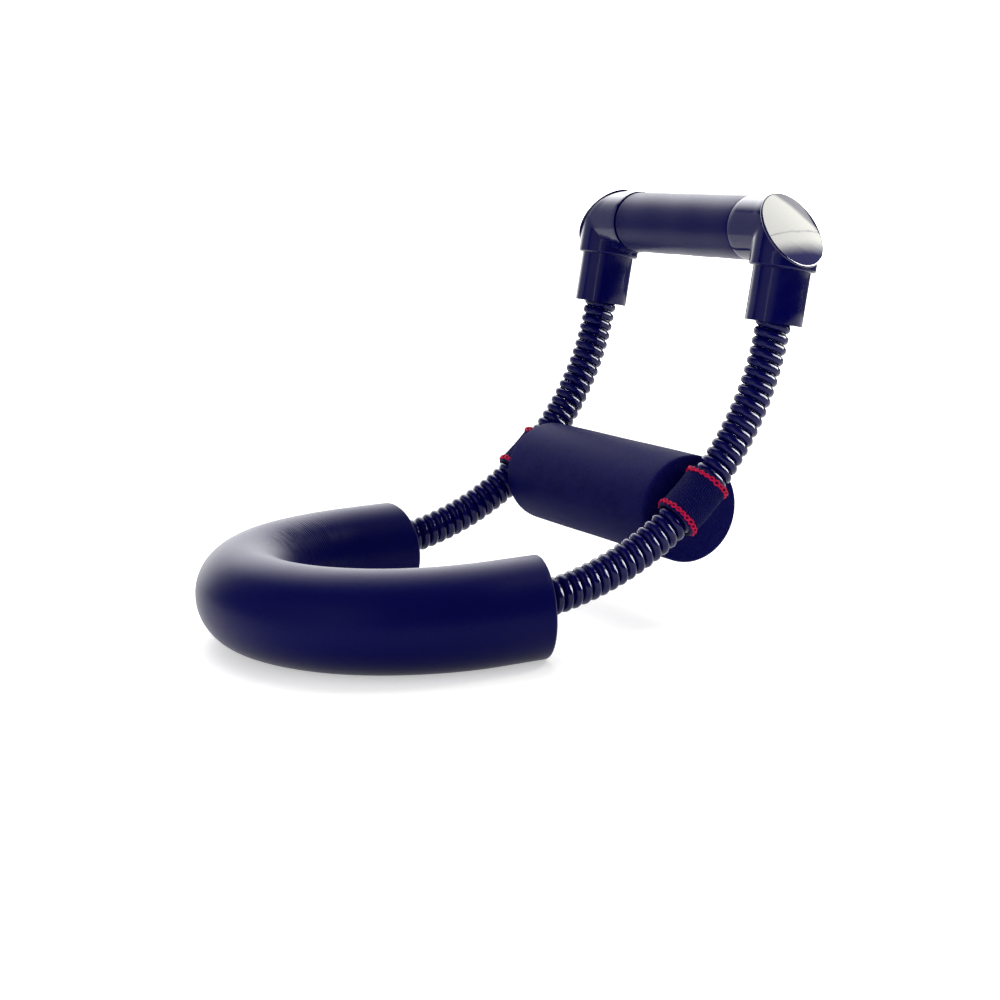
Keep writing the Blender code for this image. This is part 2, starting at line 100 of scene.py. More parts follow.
# Studio.  A pale floor and a white background for the camera.  Glossy surfaces see the floor and a
# dark room with a bright backdrop in it, a softbox with graded cloth above, and three panels.  Two
# of the panels light only the gloss of the hard pieces.
floor_colour = (0.80, 0.80, 0.80)
floor_middle_y = 0.1
floor_radius = 0.70
floor_sides = 96
floor_drop = 0.0002
floor_lift = 0.45            # added where the camera or a reflection sees the floor
fill_glow = 0.60             # even light from all round, which only matt surfaces pick up
dark_room_glow = 0.02        # what glossy surfaces see of the dark room
room_glows = (               # azimuth, elevation, outer and inner angle in degrees, strength
    (158, 6, 48, 16, 3.4),   # backdrop behind the object
    (160, 49, 34, 8, 4.2),   # its top, above the object
    (-80, 14, 45, 8, 0.66),  # wall on the left
    (98, -12, 26, 8, 0.15))  # low down on the far side
softbox_aim = Vector((0.075, 0.210, 0.165))      # the cap that mirrors it, one metre away
softbox_left, softbox_right, softbox_foot, softbox_top = -0.27, 0.19, -0.16, 0.17
softbox_glow = 10.5
cloth_shaded, cloth_lit = (0, 0, 0.05), (1.0, 0.995, 0.88)
cloth_foot, foot_dim = (-0.116, -0.046), 0.050
cloth_corner, corner_dim = (0.104, 0.134), 0.38
corner_slant = (0.66, 0.75)  # parts along and across the cloth
seam_offset = -0.0136
seam_sag = 0.010
sag_scale = 9.0
seam_edge, seam_dim = (0.0005, 0.0022), 0.25


def node(tree, kind, sockets=None, **settings):
    """New shader node with its settings, and its sockets linked or set."""
    made = tree.nodes.new(kind)
    for setting, value in settings.items():
        setattr(made, setting, value)
    for socket, source in (sockets or {}).items():
        if isinstance(source, bpy.types.NodeSocket):
            tree.links.new(source, made.inputs[socket])
        else:
            made.inputs[socket].default_value = source
    return made


def maths(tree, operation, *values, clamp=False):
    """Output of a Math node."""
    return node(tree, "ShaderNodeMath", dict(enumerate(values)), operation=operation, use_clamp=clamp).outputs[0]


def ramp(tree, value, span, result=(0.0, 1.0), kind="LINEAR"):
    """Output of a Map Range node, held at the ends of the span."""
    return node(tree, "ShaderNodeMapRange", {
        "Value": value, "From Min": span[0], "From Max": span[1], "To Min": result[0], "To Max": result[1]},
        interpolation_type=kind).outputs[0]


def speckle(tree, place, scale, detail, roughness=0.5):
    """Output of a Noise Texture node."""
    return node(tree, "ShaderNodeTexNoise", {
        "Vector": place, "Scale": scale, "Detail": detail, "Roughness": roughness}).outputs["Fac"]


def distance_along(tree, place, direction):
    """How far a place or direction of the shader reaches along a fixed direction."""
    return node(tree, "ShaderNodeVectorMath", {0: place, 1: direction}, operation="DOT_PRODUCT").outputs["Value"]


def mixed(tree, share, dark, light):
    """Mix node between two colours."""
    return node(tree, "ShaderNodeMix", {0: share, 6: (*dark, 1), 7: (*light, 1)}, data_type="RGBA")


def principled(name, sockets):
    """New material, its node tree and its shader, with sockets of the shader set."""
    made = bpy.data.materials.new(name)
    made.use_nodes = True
    shader = made.node_tree.nodes["Principled BSDF"]
    for socket, value in sockets.items():
        shader.inputs[socket].default_value = value
    return made, made.node_tree, shader


def seen_by_background_rays(tree):
    """1 for camera, glossy and transmission rays, which show the floor as background."""
    path = node(tree, "ShaderNodeLightPath")
    glossy = maths(tree, "MAXIMUM", path.outputs["Is Camera Ray"], path.outputs["Is Glossy Ray"])
    return maths(tree, "MAXIMUM", glossy, path.outputs["Is Transmission Ray"])


floor_mesh = bpy.data.meshes.new("floor")
floor_edge = [2 * math.pi * step / floor_sides for step in range(floor_sides)]
floor_points = [(floor_radius * math.cos(turn), floor_middle_y + floor_radius * math.sin(turn), -floor_drop)
                for turn in floor_edge]
floor_mesh.from_pydata(floor_points, [], [tuple(range(floor_sides))])
floor = placed("floor", floor_mesh)
floor_finish, floor_tree, floor_shader = principled("floor", {
    "Base Color": (*floor_colour, 1), "Roughness": 0.9, "Specular IOR Level": 0.0, "Emission Color": (1, 1, 1, 1)})
floor_boost = maths(floor_tree, "MULTIPLY", seen_by_background_rays(floor_tree), floor_lift)
floor_tree.links.new(floor_boost, floor_shader.inputs["Emission Strength"])
floor_mesh.materials.append(floor_finish)

world = bpy.data.worlds.new("studio")
bpy.context.scene.world = world
world.use_nodes = True
world_tree = world.node_tree
background = world_tree.nodes["Background"]
towards = node(world_tree, "ShaderNodeTexCoord").outputs["Generated"]
background.inputs["Color"].default_value = (1, 1, 1, 1)


def way(azimuth, elevation):
    """Unit vector towards an azimuth from +X and an elevation, both in degrees."""
    turn, rise = math.radians(azimuth), math.radians(elevation)
    return Vector((math.cos(turn) * math.cos(rise), math.sin(turn) * math.cos(rise), math.sin(rise)))


room_glow = dark_room_glow
for azimuth, elevation, outer, inner, strength in room_glows:
    facing = distance_along(world_tree, towards, way(azimuth, elevation))
    span = (math.cos(math.radians(outer)), math.cos(math.radians(inner)))
    round_glow = ramp(world_tree, facing, span, (0.0, strength), "SMOOTHSTEP")
    room_glow = maths(world_tree, "ADD", round_glow, room_glow)
ray = node(world_tree, "ShaderNodeLightPath")
filled = maths(world_tree, "MULTIPLY_ADD", ray.outputs["Is Diffuse Ray"], fill_glow, room_glow)
plain_white = maths(world_tree, "MAXIMUM", ray.outputs["Is Camera Ray"], ray.outputs["Is Transmission Ray"])
world_tree.links.new(maths(world_tree, "MAXIMUM", filled, plain_white), background.inputs["Strength"])

softbox_way = way(84.5, 42.9)
cloth_middle = softbox_aim + softbox_way
cloth_along = Vector((-0.607, 0.574, -0.551)).normalized()
cloth_across = softbox_way.cross(cloth_along).normalized()
softbox_mesh = bpy.data.meshes.new("softbox")
softbox_mesh.from_pydata([
    (softbox_left, softbox_foot, 0), (softbox_right, softbox_foot, 0),
    (softbox_right, softbox_top, 0), (softbox_left, softbox_top, 0)], [], [(0, 1, 2, 3)])
softbox_turn = Matrix((cloth_along, cloth_across, softbox_way)).transposed().to_4x4()
softbox_mesh.transform(Matrix.Translation(cloth_middle) @ softbox_turn)
softbox = placed("softbox", softbox_mesh)
softbox.visible_camera = False
softbox.visible_shadow = False
cloth, cloth_tree, cloth_shader = principled("softbox", {
    "Base Color": (0, 0, 0, 1), "Specular IOR Level": 0.0, "Emission Strength": softbox_glow})
cloth_place = node(cloth_tree, "ShaderNodeNewGeometry").outputs["Position"]


def along_cloth(direction, offset=0.0):
    """Distance of a place on the cloth from its middle, along a direction and less an offset."""
    return maths(cloth_tree, "SUBTRACT", distance_along(cloth_tree, cloth_place, direction),
                 cloth_middle.dot(direction) + offset)


sag = speckle(cloth_tree, cloth_place, sag_scale, 2.0)
seam_place = maths(cloth_tree, "MULTIPLY_ADD", sag, seam_sag, along_cloth(cloth_across, seam_offset))
seam = ramp(cloth_tree, maths(cloth_tree, "ABSOLUTE", seam_place), seam_edge, (seam_dim, 1.0), "SMOOTHSTEP")
foot = ramp(cloth_tree, along_cloth(cloth_across), cloth_foot, (foot_dim, 1.0), "SMOOTHSTEP")
slanted = (corner_slant[0] * cloth_along + corner_slant[1] * cloth_across).normalized()
corner = ramp(cloth_tree, along_cloth(slanted), cloth_corner, (1.0, corner_dim), "SMOOTHSTEP")
lit_share = maths(cloth_tree, "MULTIPLY", maths(cloth_tree, "MULTIPLY", foot, seam), corner)
cloth_colour = mixed(cloth_tree, lit_share, cloth_shaded, cloth_lit)
cloth_tree.links.new(cloth_colour.outputs[2], cloth_shader.inputs["Emission Color"])
softbox_mesh.materials.append(cloth)


def panel(name, aim, azimuth, elevation, width, height, glow, tilt=0.0):
    """Rectangular soft light one metre from the place that it aims at, turned by a tilt in degrees."""
    lamp = bpy.data.lights.new(name, "AREA")
    lamp.shape = "RECTANGLE"
    lamp.size = width
    lamp.size_y = height
    lamp.energy = glow * math.pi * width * height
    made = placed(name, lamp)
    back = way(azimuth, elevation)
    right = Matrix.Rotation(math.radians(tilt), 3, back) @ Vector((0, 0, 1)).cross(back).normalized()
    up = back.cross(right)
    turn = Matrix((right, up, right.cross(up))).transposed()
    made.matrix_world = Matrix.Translation(aim + back) @ turn.to_4x4()
    return made


coil_key = panel("coil_key", Vector((0.07, 0.16, 0.08)), 63, 22, width=1.0, height=0.50, glow=36.0, tilt=-38)
rear_key = panel("rear_key", Vector((-0.07, 0.20, 0.16)), -151, 6, width=1.1, height=0.95, glow=0.75)
gloss_pieces = bpy.data.collections.new("gloss_pieces")
for lamp in (coil_key, rear_key):
    lamp.visible_diffuse = False
    lamp.light_linking.receiver_collection = gloss_pieces
panel("left_strip", Vector((0, 0.13, 0.08)), -66, 14, width=0.05, height=0.8, glow=3.4)


# Foam finish.  Closed-cell foam has a soft skin: fine open grain, a slow drift of tone, and dust
# that catches on the grain.  The group gives the tone and the height; each foam sets its own grain.
speck_span = (0.50, 0.70)    # of the grain, which shows as pale specks
drift_span = (0.35, 0.70)
drift_share = 0.4
foam_tone = 0.62


def group(name, inputs):
    """Empty shader node group with named float inputs, and a tone and a height as outputs."""
    made = bpy.data.node_groups.new(name, "ShaderNodeTree")
    for label, default in inputs:
        made.interface.new_socket(label, in_out="INPUT", socket_type="NodeSocketFloat").default_value = default
    for label in ("Tone", "Height"):
        made.interface.new_socket(label, in_out="OUTPUT", socket_type="NodeSocketFloat")
    return made, made.nodes.new("NodeGroupInput"), made.nodes.new("NodeGroupOutput")


foam_skin, foam_in, foam_out = group("foam_skin", [("Grain", 2500.0), ("Drift", 40.0)])
foam_place = node(foam_skin, "ShaderNodeTexCoord").outputs["Object"]
grain = speckle(foam_skin, foam_place, foam_in.outputs["Grain"], 3.0, 0.65)
drift = speckle(foam_skin, foam_place, foam_in.outputs["Drift"], 3.0)
specks = ramp(foam_skin, grain, speck_span)
slow = ramp(foam_skin, drift, drift_span, (0.0, drift_share))
tone = maths(foam_skin, "MULTIPLY", maths(foam_skin, "ADD", specks, slow), foam_tone, clamp=True)
foam_skin.links.new(tone, foam_out.inputs["Tone"])
foam_skin.links.new(grain, foam_out.inputs["Height"])


def finish(name, dark, light, roughness, effect, effect_inputs, bump,
           metallic=0.0, specular=0.5, rough_swing=0.0, sheen=None):
    """Principled material whose colour, roughness and bump follow a node group's tone and height."""
    made, tree, shader = principled(name, {
        "Roughness": roughness, "Metallic": metallic, "Specular IOR Level": specular})
    made.diffuse_color = (*dark, 1)
    source = node(tree, "ShaderNodeGroup", node_tree=effect)
    for socket, value in effect_inputs.items():
        source.inputs[socket].default_value = value
    tree.links.new(mixed(tree, source.outputs["Tone"], dark, light).outputs[2], shader.inputs["Base Color"])
    if rough_swing:
        rough = ramp(tree, source.outputs["Tone"], (0.0, 1.0), (roughness, roughness + rough_swing))
        tree.links.new(rough, shader.inputs["Roughness"])
    if sheen:
        shader.inputs["Sheen Weight"].default_value, shader.inputs["Sheen Roughness"].default_value = sheen
    relief = node(tree, "ShaderNodeBump", {"Height": source.outputs["Height"], "Strength": 1.0, "Distance": bump})
    tree.links.new(relief.outputs[0], shader.inputs["Normal"])
    return made


# Arm rest sleeve.  One length of thick foam tube pulled over a steel U and cut off a little short
# on the outside of the bend, so its ends lean.  On the inside of each leg the skin is pressed into
# fine crosswise wrinkles.  Its underside is flat where it lies on the table.
sleeve_radius = 0.0205
sleeve_bore = 0.0103
bore_rise = 0.0019           # the steel tube sits a little above the middle of the foam
bore_inset = 0.015
bore_steps = 60
sleeve_axis_height = 0.020
underside_lift = 0.00005     # keeps the flat off the floor
sleeve_leg = 0.022
bend_radius = 0.0705
sleeve_lean = math.tan(math.radians(11))
lean_reach = 0.016
sleeve_rim = 0.0017
rim_steps = 6
mouth_radius = 0.0081
mouth_rise = 0.00267
mouth_shift_from, mouth_shift_over = 0.0195, 0.0095      # radii over which the face shifts up to the mouth
face_profile = ((0.0001, 0.0165), (0.0003, 0.0125), (0.0005, 0.0098), (0.0009, 0.0087), (0.0016, 0.0082),
                (0.004, mouth_radius))                   # depth and radius, from the rim into the mouth
sleeve_sides = 96
plain_step = 0.0015
skin_waver = 0.00012
wrinkle_pitch = 0.00150
wrinkle_steps = 7            # rings to a wrinkle
wrinkle_depth = 0.00019
wrinkles_begin, wrinkles_end = (0.026, 0.046), (0.070, 0.100)      # from the end of each leg
wrinkle_margin = (0.003, 0.006)                          # closer rings before and after them
wrinkled_side = (0.10, 0.60)
wander_rate = (60, 1.3)      # noise cells to a metre along and a radian round
wander_share = 1.1           # of a wrinkle's pitch
break_rate = (300, 2.6)
break_span = (-0.50, 0.30)

bend_length = math.pi * bend_radius
sleeve_length = bend_length + 2 * sleeve_leg
leg_end_y = bend_radius + sleeve_leg


def on_the_u(distance):
    """Centre, heading and outward direction at a distance along the U from its right-hand end."""
    beyond = distance - sleeve_leg
    if beyond <= 0:
        return Vector((bend_radius, leg_end_y - distance, 0)), Vector((0, -1, 0)), Vector((1, 0, 0))
    if beyond >= bend_length:
        return Vector((-bend_radius, bend_radius + beyond - bend_length, 0)), Vector((0, 1, 0)), Vector((-1, 0, 0))
    turn = beyond / bend_radius
    outward = Vector((math.cos(turn), -math.sin(turn), 0))
    return Vector((0, bend_radius, 0)) + bend_radius * outward, Vector((-math.sin(turn), -math.cos(turn), 0)), outward


def ease(value, low, high):
    """Smooth step from 0 at low to 1 at high."""
    part = min(1.0, max(0.0, (value - low) / (high - low)))
    return part * part * (3 - 2 * part)


def wrinkle(distance, turn):
    """How far the skin sinks into a fine crosswise wrinkle."""
    from_end = min(distance, sleeve_length - distance)
    along = ease(from_end, *wrinkles_begin) * (1 - ease(from_end, *wrinkles_end))
    inside = ease(-math.cos(turn), *wrinkled_side)
    if along * inside <= 0:
        return 0.0
    place = Vector((distance * wander_rate[0], turn * wander_rate[1], 0.0))
    wander = 0.7 * noise.noise(place) + 0.15 * noise.noise(place * 4)
    broken = ease(noise.noise(Vector((distance * break_rate[0], turn * break_rate[1], 5.0))), *break_span)
    wave = abs(math.sin(math.pi * (distance / wrinkle_pitch + wander_share * wander)))
    return wrinkle_depth * along * inside * broken * (1 - wave) ** 1.6


def sleeve_ring(distance, radius, rise=0.0, skin=True):
    """Ring of points round the U's axis; near the ends its plane leans with the cut."""
    centre, heading, outward = on_the_u(distance)
    near_right = distance < sleeve_length / 2
    from_end = distance if near_right else sleeve_length - distance
    slant = sleeve_lean * max(0.0, 1 - from_end / lean_reach) * (1 if near_right else -1)
    ring = []
    for index in range(sleeve_sides):
        turn = -math.pi / 2 + 2 * math.pi * (index + 0.5) / sleeve_sides
        reach = radius
        if skin:
            soft = noise.noise(Vector((distance * 22, math.cos(turn), math.sin(turn))) * 1.3)
            reach += skin_waver * soft - wrinkle(distance, turn)
        out, up = reach * math.cos(turn), reach * math.sin(turn) + rise
        up = max(up, -sleeve_axis_height + underside_lift)
        ring.append(centre + outward * out + heading * (slant * out) + Vector((0, 0, sleeve_axis_height + up)))
    return ring


def swept(name, rings, closed=True, crease=40):
    """Mesh whose skin runs from ring to ring, and from the last to the first if it is closed."""
    work = bmesh.new()
    loops = [[work.verts.new(point) for point in ring] for ring in rings]
    pairs = list(zip(loops, loops[1:]))
    if closed:
        pairs.append((loops[-1], loops[0]))
    for ring_a, ring_b in pairs:
        count = len(ring_a)
        for index in range(count):
            after = (index + 1) % count
            work.faces.new((ring_a[index], ring_a[after], ring_b[after], ring_b[index]))
    if not closed:
        work.faces.new(loops[0][::-1])
        work.faces.new(loops[-1])
    return settled_mesh(work, name, crease)


def settled_mesh(work, name, crease=None):
    """Mesh of a bmesh whose faces point outward, smooth but for edges sharper than a crease in degrees."""
    bmesh.ops.recalc_face_normals(work, faces=work.faces)
    mesh = bpy.data.meshes.new(name)
    work.to_mesh(mesh)
    work.free()
    mesh.shade_smooth()
    if crease is not None:
        mesh.set_sharp_from_angle(angle=math.radians(crease))
    return mesh


def shown_piece(name, mesh, surface, matrix=None):
    """Object for a mesh, in the scene, with its finish."""
    if surface is not None:
        mesh.materials.append(surface)
    made = placed(name, mesh)
    if matrix is not None:
        mesh.transform(matrix)
    return made


def sleeve_stations():
    """Distances along the U: close together where the skin is wrinkled."""
    places = []
    distance = sleeve_rim
    while distance < sleeve_length - sleeve_rim:
        places.append(distance)
        from_end = min(distance, sleeve_length - distance)
        wrinkled = wrinkles_begin[0] - wrinkle_margin[0] < from_end < wrinkles_end[1] + wrinkle_margin[1]
        distance += wrinkle_pitch / wrinkle_steps if wrinkled else plain_step
    return places + [sleeve_length - sleeve_rim]


sleeve_rings = [sleeve_ring(distance, sleeve_radius) for distance in sleeve_stations()]
rim_profile = [(sleeve_rim * (1 - math.sin(turn)), sleeve_rim * (1 - math.cos(turn)))
               for turn in (math.pi / 2 * step / rim_steps for step in range(1, rim_steps + 1))]
near_rim = [sleeve_ring(back, sleeve_radius - inset) for back, inset in rim_profile]
far_rim = [sleeve_ring(sleeve_length - back, sleeve_radius - inset) for back, inset in rim_profile]
face_steps = [(back, radius, mouth_rise * min(1.0, (mouth_shift_from - radius) / mouth_shift_over))
              for back, radius in face_profile]
near_face = [sleeve_ring(back, radius, rise, False) for back, radius, rise in face_steps]
far_face = [sleeve_ring(sleeve_length - back, radius, rise, False) for back, radius, rise in face_steps]
bore_places = [bore_inset + (sleeve_length - 2 * bore_inset) * step / bore_steps for step in range(bore_steps + 1)]
bore_rings = [sleeve_ring(distance, sleeve_bore, bore_rise, False) for distance in bore_places]
sleeve_skin = near_face[::-1] + near_rim[::-1] + sleeve_rings + far_rim + far_face + bore_rings[::-1]
pad_foam = finish(
    "sleeve_foam", dark=(0.0005, 0.0005, 0.056), light=(0.0018, 0.0018, 0.066), roughness=0.34, specular=0.06,
    effect=foam_skin, effect_inputs={"Grain": 2600.0, "Drift": 30.0}, bump=0.00004, rough_swing=0.10,
    sheen=(0.16, 0.30))
sleeve = shown_piece("foam_sleeve", swept("foam_sleeve", sleeve_skin), pad_foam)
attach(sleeve, "arm_rest")
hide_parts("arm_pad")


# Coil springs.  Thick round wire in curls that almost touch, coated in black gloss, one in each leg
# of the U, both bent to the same arc.  Their ends turn inward to straight tangs in the plugs.  Each
# is drawn in two lengths that meet under the strap.
half_spacing = 0.0705
spring_radius = 0.0075
wire_radius = 0.00201
curl_pitch = 0.00423
curl_steps = 44
wire_sides = 26
arc_radius = 0.1277
start_slope = math.radians(6.8)
end_slope = math.radians(77.8)
seat_bend_radius = 0.110
seat_run = leg_end_y - seat_bend_radius * math.sin(start_slope) - bend_radius
socket_insert = 0.014
tang_length = 0.0033
tang_bend = 0.0028
tang_steps = 8
strap_place = 0.0778         # along the arc, from the sleeve to the middle of the strap
lower_bend_reach = 0.051     # of the flexing part, clear of the strap at its lowest
upper_bend_reach = 0.053

coil_radius = spring_radius - wire_radius
seat_arc = seat_bend_radius * start_slope
arc_length = arc_radius * (end_slope - start_slope)
spring_length = seat_run + seat_arc + arc_length + socket_insert
seat_height = sleeve_axis_height + bore_rise
arc_start = Vector((0, leg_end_y, seat_height + seat_bend_radius * (1 - math.cos(start_slope))))
arc_centre = arc_start + arc_radius * Vector((0, -math.sin(start_slope), math.cos(start_slope)))


def uphill(slope):
    """Unit vector along a spring at a slope."""
    return Vector((0, math.cos(slope), math.sin(slope)))


def on_arc(slope, outward=0.0, across=0.0):
    """Point of the springs' arc at a slope, moved outward from the arc's centre and across."""
    reach = arc_radius + outward
    return arc_centre + Vector((across, reach * math.sin(slope), -reach * math.cos(slope)))


def spring_axis(along):
    """Point and slope on a spring's axis, measured from its seat in the steel tube."""
    seat = Vector((0, bend_radius, seat_height))
    if along <= seat_run:
        return seat + Vector((0, along, 0)), 0.0
    along -= seat_run
    if along <= seat_arc:
        slope = along / seat_bend_radius
        rise = seat_bend_radius * (1 - math.cos(slope))
        return seat + Vector((0, seat_run + seat_bend_radius * math.sin(slope), rise)), slope
    along -= seat_arc
    if along <= arc_length:
        slope = start_slope + along / arc_radius
        return on_arc(slope), slope
    return on_arc(end_slope) + (along - arc_length) * uphill(end_slope), end_slope


def wire_course():
    """Wire as (turned angle, distance along the axis): tang, curls, tang."""
    tang_rise = tang_length + tang_bend
    climb = math.atan(curl_pitch / (2 * math.pi * coil_radius))
    curls = (spring_length - 2 * tang_rise) / curl_pitch
    count = round(curls * curl_steps)
    bend = []
    for index in range(tang_steps):
        turn = math.pi / 2 + (climb - math.pi / 2) * index / tang_steps
        bend.append((tang_bend * (1 - math.sin(turn)) / coil_radius, tang_length + tang_bend * math.cos(turn)))
    bend_turn = tang_bend * (1 - math.sin(climb)) / coil_radius
    course = [(0.0, 0.0), (0.0, tang_length / 2), *bend]
    course += [(bend_turn + 2 * math.pi * curls * index / count, tang_rise + curls * curl_pitch * index / count)
               for index in range(count + 1)]
    last = 2 * bend_turn + 2 * math.pi * curls
    course += [(last - turned, spring_length - along) for turned, along in reversed(bend)]
    return course + [(last, spring_length - tang_length / 2), (last, spring_length)]


def tube_rings(points, radius, sides, first_side=Vector((0, 0, 1))):
    """Rings of a round wire along points, turned as little as possible from one to the next."""
    rings = []
    side = first_side
    for index, point in enumerate(points):
        before, after = points[max(0, index - 1)], points[min(len(points) - 1, index + 1)]
        heading = (after - before).normalized()
        side = (side - heading * side.dot(heading)).normalized()
        other = heading.cross(side)
        rings.append([point + radius * (math.cos(turn) * side + math.sin(turn) * other)
                      for turn in (2 * math.pi * step / sides for step in range(sides))])
    return rings


def wire_points():
    """Centreline of the wire round the bent axis at X = 0, and the distance along the axis."""
    found = []
    for turned, along in wire_course():
        centre, slope = spring_axis(along)
        inward = Vector((0, -math.sin(slope), math.cos(slope)))
        spoke = math.cos(turned) * Vector((1, 0, 0)) + math.sin(turned) * inward
        found.append((centre + coil_radius * spoke, along))
    return found


# The coating's finish: an even gloss with faint waves in the surface, dulled in places by dust and
# the rub of neighbouring curls.
gloss_skin, gloss_in, gloss_out = group("gloss_skin", [("Ripple", 500.0), ("Dust", 90.0)])
gloss_place = node(gloss_skin, "ShaderNodeTexCoord").outputs["Object"]
ripple = speckle(gloss_skin, gloss_place, gloss_in.outputs["Ripple"], 1.0, 0.4)
dust = speckle(gloss_skin, gloss_place, gloss_in.outputs["Dust"], 4.0, 0.6)
gloss_skin.links.new(ramp(gloss_skin, dust, (0.45, 0.75)), gloss_out.inputs["Tone"])
gloss_skin.links.new(ripple, gloss_out.inputs["Height"])

spring_gloss = finish(
    "spring_gloss", dark=(0.0008, 0.0008, 0.060), light=(0.003, 0.003, 0.068), roughness=0.14, specular=0.20,
    effect=gloss_skin, effect_inputs={"Ripple": 420.0, "Dust": 140.0}, bump=0.00001, rough_swing=0.10)
wire_line = wire_points()
split_along = seat_run + seat_arc + strap_place
split_index = next(index for index, (point, along) in enumerate(wire_line) if along >= split_along)
wire_skin = tube_rings([point for point, along in wire_line], wire_radius, wire_sides)
lower_bend = (arc_start, on_arc(start_slope + lower_bend_reach / arc_radius))
upper_bend = (on_arc(end_slope - upper_bend_reach / arc_radius), on_arc(end_slope))
for side, label in ((1, "right"), (-1, "left")):
    shift = Vector((side * half_spacing, 0, 0))
    for part, rings, bodies, bend in (
            ("lower", wire_skin[:split_index + 1], ("arm_rest", "springs"), lower_bend),
            ("upper", wire_skin[split_index:], ("springs", "handle"), upper_bend)):
        name = "coil_%s_%s" % (part, label)
        moved = [[point + shift for point in ring] for ring in rings]
        coil = shown_piece(name, swept(name, moved, closed=False), spring_gloss)
        gloss_pieces.objects.link(coil)
        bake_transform(coil)
        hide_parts("spring_" + label)


# Strap.  An endless band of black knitted elastic goes round one spring, through the roller, round
# the other spring and back.  Fine crosswise ribs show where it goes round the springs.
strap_slope = math.radians(41.7)
strap_width = 0.0224
strap_thickness = 0.0012
strap_clearance = 0.0003
strap_edge = 0.00045
layer_gap = 0.0003
fold_radius = 0.0010
flat_steps, drop_steps, fold_steps, back_steps = 24, 12, 7, 20
loop_step = 0.00016
ribs_begin = (0.86, 0.90)    # share of the way from the middle to the spring
outer_steps, edge_steps, inner_steps = 96, 5, 12
rib_pitch = 0.00095
rib_height = 0.00024
rib_margin = (0.0003, 0.0009)
knit_pitch = 0.00120
row_sway, row_swing, row_slip = 0.22, 0.18, 0.5
sway_rate, slip_rate, fuzz_rate = (420, 300), (0.7, 260), 2600
loop_share = 0.60            # of a rib's height that comes and goes with its loops
knit_fuzz = 0.45
fibre_span, tuft_span = (0.45, 0.72), (0.40, 0.66)
# Span of the ribs' height over which painted highlight comes up on the loop tops.
painted_light_span = (0.55, 1.0)  # of the ribs' height
tuft_share, plain_share = 0.70, 0.04

band_radius = spring_radius + strap_clearance + strap_thickness / 2


def band_course():
    """Middle line of the band from the middle of its first layer, round the right-hand spring, to
    the middle of its second layer: (across, inward, normal across, normal inward, ribbed)."""
    course = []
    for index in range(flat_steps):
        part = index / flat_steps
        course.append((half_spacing * index / flat_steps, -band_radius, 0.0, -1.0, ease(part, *ribs_begin)))
    arc_turn = 1.5 * math.pi
    count = round(arc_turn * band_radius / loop_step)
    for index in range(count + 1):
        turn = -math.pi / 2 + arc_turn * index / count
        course.append((half_spacing + band_radius * math.cos(turn), band_radius * math.sin(turn),
                       math.cos(turn), math.sin(turn), 1.0))
    fold_level = -(band_radius - strap_thickness - layer_gap) + fold_radius
    fold_across = half_spacing - (band_radius + fold_radius)
    for index in range(1, drop_steps):
        course.append((half_spacing - band_radius, fold_level * index / drop_steps, -1.0, 0.0, 1.0))
    for index in range(fold_steps + 1):
        turn = -math.pi / 2 * index / fold_steps
        course.append((fold_across + fold_radius * math.cos(turn), fold_level + fold_radius * math.sin(turn),
                       -math.cos(turn), -math.sin(turn), 1.0 - index / fold_steps))
    for index in range(1, back_steps):
        course.append((fold_across * (1 - index / back_steps), fold_level - fold_radius, 0.0, 1.0, 0.0))
    return course


def band_section():
    """Section of the band as (place across its width, place in its thickness, ribbed)."""
    half_width, half_thick = strap_width / 2, strap_thickness / 2
    inner = half_width - strap_edge
    outline = [(-inner + 2 * inner * index / outer_steps, half_thick, 1.0) for index in range(outer_steps + 1)]
    for index in range(1, edge_steps):
        turn = math.pi / 2 - math.pi * index / edge_steps
        outline.append((inner + strap_edge * math.cos(turn), half_thick * math.sin(turn), 0.0))
    for index in range(inner_steps + 1):
        outline.append((inner - 2 * inner * index / inner_steps, -half_thick, 0.0))
    for index in range(1, edge_steps):
        turn = -math.pi / 2 - math.pi * index / edge_steps
        outline.append((-inner + strap_edge * math.cos(turn), half_thick * math.sin(turn), 0.0))
    return outline


def knit(length, width):
    """Height of the knitted ribs, from -1 in the grooves to 1 on the loops."""
    row = length / rib_pitch + row_sway * noise.noise(Vector((length * sway_rate[0], width * sway_rate[1], 3.0)))
    parity = math.floor(row) % 2
    drawn = noise.noise(Vector((math.floor(row) * slip_rate[0], width * slip_rate[1], 7.0)))
    slip = row_swing * math.sin(2 * math.pi * row) + row_slip * drawn
    rib = abs(math.sin(math.pi * row)) ** 0.6
    loop = 0.5 + 0.5 * math.cos(2 * math.pi * (width / knit_pitch + 0.5 * parity + slip))
    fuzz = noise.noise(Vector((length * fuzz_rate, width * fuzz_rate, 1.0)))
    return rib * (1 - loop_share + loop_share * loop) * 2 - 1 + knit_fuzz * fuzz


def band_point(across, inward, width):
    """Point of the strap, whose width follows the springs' arc."""
    return on_arc(strap_slope + width / arc_radius, -inward, across)


